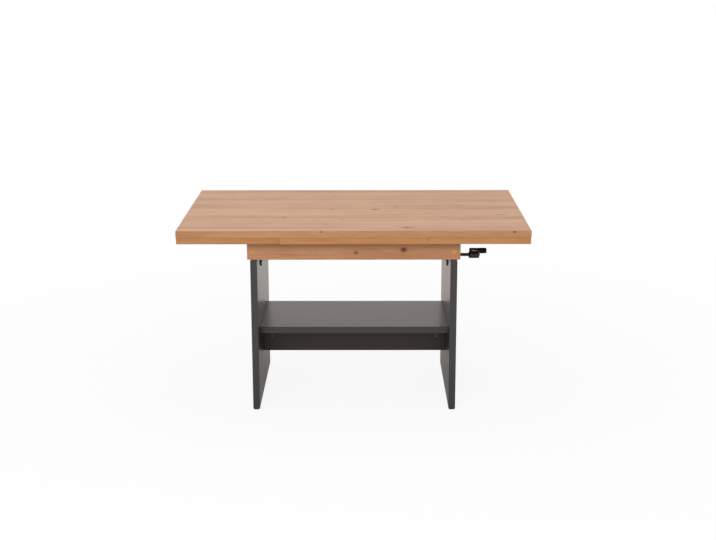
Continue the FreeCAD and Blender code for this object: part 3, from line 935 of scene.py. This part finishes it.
# rivets where the arms cross: domed at both ends
rivet = {
    "headRadius": 0.009,
    "headHeight": 0.003,
    "dome": ((0.36, 0.08), (0.66, 0.30), (0.87, 0.62), (1.0, 0.88), (0.98, 1.0)),
    "shankRadius": 0.004,
    "sides": 36,
}


def makeRivet(length, look):
    height = look["headHeight"]
    head = domed(look["dome"], look["headRadius"], height) + [(look["shankRadius"], -height)]
    foot = [(out, -length - down) for out, down in reversed(head)]
    return turnProfile("crossing_rivet", head + foot, look["sides"])


rivetSeats = fastenersOf("crossing_rivets", 1)
crossingRivet = makeRivet(rivetSeats[0]["length"], rivet)
placeCopies("crossing_rivet_set", crossingRivet, rivetSeats, "zinc_steel", "crossing_rivets")


# glides under the panels: a rounded pad on a nail
glide = {
    "padRadius": 0.0048,
    "padHeight": 0.002,
    "round": ((0.78, 0.0), (0.92, 0.00015), (1.0, 0.0006)),
    "nailRadius": 0.002,
    "nailPoint": 0.003,
    "sides": 28,
}


def makeGlide(length, look):
    pad, under, nail = look["padRadius"], -look["padHeight"], look["nailRadius"]
    profile = domed(look["round"], pad) + [(pad, under), (nail, under)]
    profile += [(nail, look["nailPoint"] - length), (0, -length)]
    return turnProfile("floor_glide", profile, look["sides"])


glideSeats = fastenersOf("floor_glides", 2)
floorGlide = makeGlide(glideSeats[0]["length"], glide)
placeCopies("floor_glide_set", floorGlide, glideSeats, "black_plastic", "floor_glides")


# rubber rests on the panels' top edges
rubberRest = {
    "radius": 0.0045,
    "dome": ((0.45, 0.03), (0.75, 0.16), (0.93, 0.42), (1.0, 0.75), (1.0, 1.0)),
    "sides": 28,
}


def makeRubberRest(height, look):
    profile = domed(look["dome"], look["radius"], height) + [(0, -height)]
    return turnProfile("rest_buffer", profile, look["sides"])


restSeats = [seatOn(*boxOf(points), 2, 1) for points in solidsOf("rest_buffers")]
restBuffer = makeRubberRest(restSeats[0]["length"], rubberRest)
placeCopies("rest_buffer_set", restBuffer, restSeats, "rubber", "rest_buffers")


# sliders on the rods: rings with eased edges and a grease groove
slider = {
    "radius": 0.008,
    "bore": 0.00505,
    "ease": 0.0009,
    "grooveDepth": 0.0005,
    "grooveMouth": 0.0008,
    "grooveFloor": 0.0003,
    "sides": 36,
}


def makeSlider(length, look):
    radius, bore, ease = look["radius"], look["bore"], look["ease"]
    half, mouth, floor = -length / 2, look["grooveMouth"], look["grooveFloor"]
    sunk = radius - look["grooveDepth"]
    profile = [(bore, 0), (radius - ease, 0), (radius, -ease), (radius, half + mouth)]
    profile += [(sunk, half + floor), (sunk, half - floor), (radius, half - mouth)]
    profile += [(radius, ease - length), (radius - ease, -length), (bore, -length), (bore, 0)]
    return turnProfile("arm_slider", profile, look["sides"])


for node in ("outer_sliders", "inner_sliders"):
    seats = fastenersOf(node, 1)
    placeCopies(node[:-1] + "_set", makeSlider(seats[0]["length"], slider), seats, "nylon", node)
print("caps, rivets, glides, rests and sliders ready")


# lifting spindle: a threaded run, a collar, and a plain shaft out to the crank
spindleLook = {
    "core": 0.0049,
    "crest": 0.006,
    "shaft": 0.0054,
    "ease": 0.0008,
    "collar": 0.010,
    "collarWidth": 0.006,
    "shoulder": (0.003, 0.002),  # where it widens ahead of the collar
    "lead": 0.005,
    "threadStop": 0.004,
    "threadRoot": 0.96,
    "threadFoot": 0.32,
    "threadTip": 0.17,
    "threadSteps": 28,
    "sides": 32,
}


def makeSpindle(look):
    low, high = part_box("spindle")
    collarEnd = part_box("bearing_plate")[0].x
    collarStart = collarEnd - look["collarWidth"]
    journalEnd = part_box("spindle_bush")[1].x
    core, crest, shaft = look["core"], look["crest"], look["shaft"]
    collar, ease, lead = look["collar"], look["ease"], look["lead"]
    thin, thick = [collarStart - ahead for ahead in look["shoulder"]]
    profile = [(0, low.x), (core - ease, low.x), (core, low.x + ease), (core, thin)]
    profile += [(crest, thick), (crest, collarStart), (collar - ease, collarStart)]
    profile += [(collar, collarStart + ease), (collar, collarEnd - ease)]
    profile += [(collar - ease, collarEnd), (crest, collarEnd)]
    profile += [(crest, journalEnd - ease), (crest - ease, journalEnd), (shaft, journalEnd)]
    profile += [(shaft, high.x - ease), (shaft - ease, high.x), (0, high.x)]
    rod = turnProfile("spindle_rod", profile, look["sides"])
    root, foot, tip = core * look["threadRoot"], lead * look["threadFoot"], lead * look["threadTip"]
    ridge = [(root, -foot), (crest, -tip), (crest, tip), (root, foot)]
    turns = int((collarStart - look["threadStop"] - low.x) / lead)
    start = low.x + lead / 2
    thread = windThread("spindle_thread", ridge, lead, turns, start, look["threadSteps"])
    spindle = joinAll("threaded_spindle", [rod, thread])
    middle = (low + high) / 2
    settle(spindle, (0, middle.y, middle.z), (1, 0, 0))
    finishPiece(spindle, "blackened_steel", "drive", "spindle")


makeSpindle(spindleLook)


# grip of the crank: a barrel with finger grooves and a domed end
gripLook = {
    "endRadius": 0.0090,
    "belly": 0.0097,
    "nearRound": ((0.0015, 0.0), (0.0005, 0.0004)),  # how far in from the radius and the end
    "nearEase": 0.0014,
    "farEase": 0.0022,
    "farRound": ((0.0006, 0.0008), (0.0022, 0.0001)),
    "grooves": 5,
    "firstGroove": 0.24,
    "grooveStep": 0.13,
    "grooveDepth": 0.00045,
    "grooveWidth": 0.0014,
    "grooveFloor": 0.4,
    "sides": 48,
}


def makeGrip(look):
    low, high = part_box("crank_grip")
    length = high.x - low.x
    middle = (low + high) / 2

    def barrel(along):
        bow = 1 - (along / length * 2 - 1) ** 2
        return look["endRadius"] + (look["belly"] - look["endRadius"]) * bow

    near, far = look["nearEase"], length - look["farEase"]
    half = look["grooveWidth"] / 2
    flat = half * look["grooveFloor"]
    profile = [(0, 0)] + [(barrel(0) - inset, along) for inset, along in look["nearRound"]]
    profile += [(barrel(near), near)]
    for number in range(look["grooves"]):
        at = length * (look["firstGroove"] + look["grooveStep"] * number)
        sunk = barrel(at) - look["grooveDepth"]
        profile += [(barrel(at - half), at - half), (sunk, at - flat)]
        profile += [(sunk, at + flat), (barrel(at + half), at + half)]
    profile += [(barrel(far), far)]
    profile += [(barrel(length) - inset, length - back) for inset, back in look["farRound"]]
    profile += [(0, length)]
    grip = turnProfile("grip_barrel", profile, look["sides"])
    settle(grip, (low.x, middle.y, middle.z), (1, 0, 0))
    finishPiece(grip, "black_plastic", "grip", "crank_grip")


makeGrip(gripLook)


# screw and washer that hold the crank on its shaft
hubScrew = {
    "washerRadius": 0.0056,
    "washer": 0.0007,
    "washerSink": 0.0004,
    "washerEase": (0.0002, 0.8),  # in from the rim, and the share of the height below it
    "headRadius": 0.0036,
    "head": 0.0016,
    "dome": ((1.0, 0.0), (1.0, 0.35), (0.9, 0.72), (0.55, 0.95), (0.0, 1.0)),
    "crossReach": 0.0021,
    "crossWidth": 0.0008,
    "crossDepth": 0.0013,
    "sides": 28,
}


def makeHubScrew(look):
    rim, washer, head = look["washerRadius"], look["washer"], look["head"]
    inset, share = look["washerEase"]
    profile = [(0, -look["washerSink"]), (rim, -look["washerSink"]), (rim, washer * share)]
    profile += [(rim - inset, washer)]
    profile += [(look["headRadius"] * out, washer + head * up) for out, up in look["dome"]]
    screw = turnProfile("crank_screw", profile, look["sides"])
    sinkCross(screw, look, washer + head)
    low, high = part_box("spindle")
    shaft = (low + high) / 2
    settle(screw, (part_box("crank")[1].x, shaft.y, shaft.z), (1, 0, 0))
    finishPiece(screw, "blackened_steel", "drive")


makeHubScrew(hubScrew)
print("spindle, grip and crank screw ready")


# camera where the photograph was taken from
photoView = {
    "place": (0.03494, -4.28576, 1.49456),
    "yaw": 0.0053,
    "pitch": 0.2474,
    "roll": -0.0021,
    "focalPixels": 1309.87,
    "imageWidth": 716,
    "sensor": 36.0,
}


def placeCamera(view):
    yaw, pitch, roll = view["yaw"], view["pitch"], view["roll"]
    level = Vector((math.cos(yaw), math.sin(yaw), 0))
    inward = Vector((-math.sin(yaw), math.cos(yaw), 0))
    ahead = inward * math.cos(pitch) - Vector((0, 0, math.sin(pitch)))
    upright = level.cross(ahead)
    right = level * math.cos(roll) + upright * math.sin(roll)
    up = upright * math.cos(roll) - level * math.sin(roll)
    bpy.ops.object.camera_add(location=view["place"])
    camera = bpy.context.object
    camera.rotation_euler = Matrix((right, up, -ahead)).transposed().to_euler()
    camera.data.sensor_fit = "HORIZONTAL"
    camera.data.sensor_width = view["sensor"]
    camera.data.lens = view["focalPixels"] / view["imageWidth"] * view["sensor"]
    bpy.context.scene.camera = camera


# white studio: an even surround, a soft lamp ahead and one above, a pale floor
studio = {
    "surround": 0.46,
    "mirrorTint": (1.0, 0.92, 0.87, 1.0),
    "mirrorFade": (-0.7, 2.0),
    "floorSize": 160.0,
    "floorColour": (0.31, 0.29, 0.275, 1.0),
    "floorGlow": 0.90,
    "floorFade": (0.5, 2.6),
}
lamps = [
    {
        "name": "front_lamp", "place": (-0.8, -4.6, 2.0), "aim": (0.0, 0.0, 0.5),
        "size": (3.6, 1.1), "power": 108.0, "mirrored": False,
    },
    {
        "name": "top_lamp", "place": (-0.4, -0.3, 3.6), "aim": (0.0, 0.0, 0.6),
        "size": (3.6, 3.6), "power": 34.0, "mirrored": True,
    },
]


def sightRays(wire):
    # what the camera or glass sees, and what a glossy face mirrors
    seen = wire.node("LightPath", output="Is Camera Ray")
    through = wire.node("LightPath", output="Is Transmission Ray")
    return seen.top(through), wire.node("LightPath", output="Is Glossy Ray")


def makeSurround(look):
    world = bpy.data.worlds.new("white_surround")
    bpy.context.scene.world = world
    world.use_nodes = True
    world.node_tree.nodes.clear()
    wire = Wire(world.node_tree)
    seen, mirrored = sightRays(wire)
    lit = wire.node("Background", {}, {"Color": white, "Strength": look["surround"]})
    tint = wire.blend(mirrored, white, look["mirrorTint"])
    shown = wire.node("Background", {}, {"Color": tint, "Strength": 1.0})
    mixed = wire.node("MixShader", {}, {0: seen.top(mirrored), 1: lit, 2: shown})
    wire.node("OutputWorld", {}, {"Surface": mixed})


def makeFloor(look):
    clearSelection()
    bpy.ops.mesh.primitive_plane_add(size=look["floorSize"])
    floor = bpy.context.object
    floor.name = "studio_floor"
    material, wire = startFinish("pale_floor")
    seen, mirrored = sightRays(wire)
    away = wire.node("VectorMath", {"operation": "LENGTH"}, {0: wire.objectPoint()}, "Value")
    matt = wire.node("BsdfDiffuse", {}, {"Color": wire.blend(seen, look["floorColour"], white)})
    tint = wire.blend(mirrored, white, look["mirrorTint"])
    glow = wire.node("Emission", {}, {"Color": tint, "Strength": 1.0})
    whiter = away.step(*look["floorFade"]) * (1 - look["floorGlow"]) + look["floorGlow"]
    share = seen * whiter + mirrored * away.step(*look["mirrorFade"])
    shader = wire.node("MixShader", {}, {0: share, 1: matt, 2: glow})
    below = wire.node("NewGeometry", output="Backfacing")  # seen through from underneath
    clear = wire.node("BsdfTransparent")
    shader = wire.node("MixShader", {}, {0: below, 1: shader, 2: clear})
    wire.node("OutputMaterial", {}, {"Surface": shader})
    floor.data.materials.append(material)


def hangLamp(lamp):
    bpy.ops.object.light_add(type="AREA", location=lamp["place"])
    made = bpy.context.object
    made.name = lamp["name"]
    made.data.shape = "RECTANGLE"
    made.data.size, made.data.size_y = lamp["size"]
    made.data.energy = lamp["power"]
    made.visible_glossy = lamp["mirrored"]
    aim = Vector(lamp["aim"]) - Vector(lamp["place"])
    made.rotation_euler = aim.to_track_quat("-Z", "Y").to_euler()


placeCamera(photoView)
bpy.context.scene.view_settings.view_transform = "Standard"
makeSurround(studio)
makeFloor(studio)
for lamp in lamps:
    hangLamp(lamp)
print("camera and studio ready")
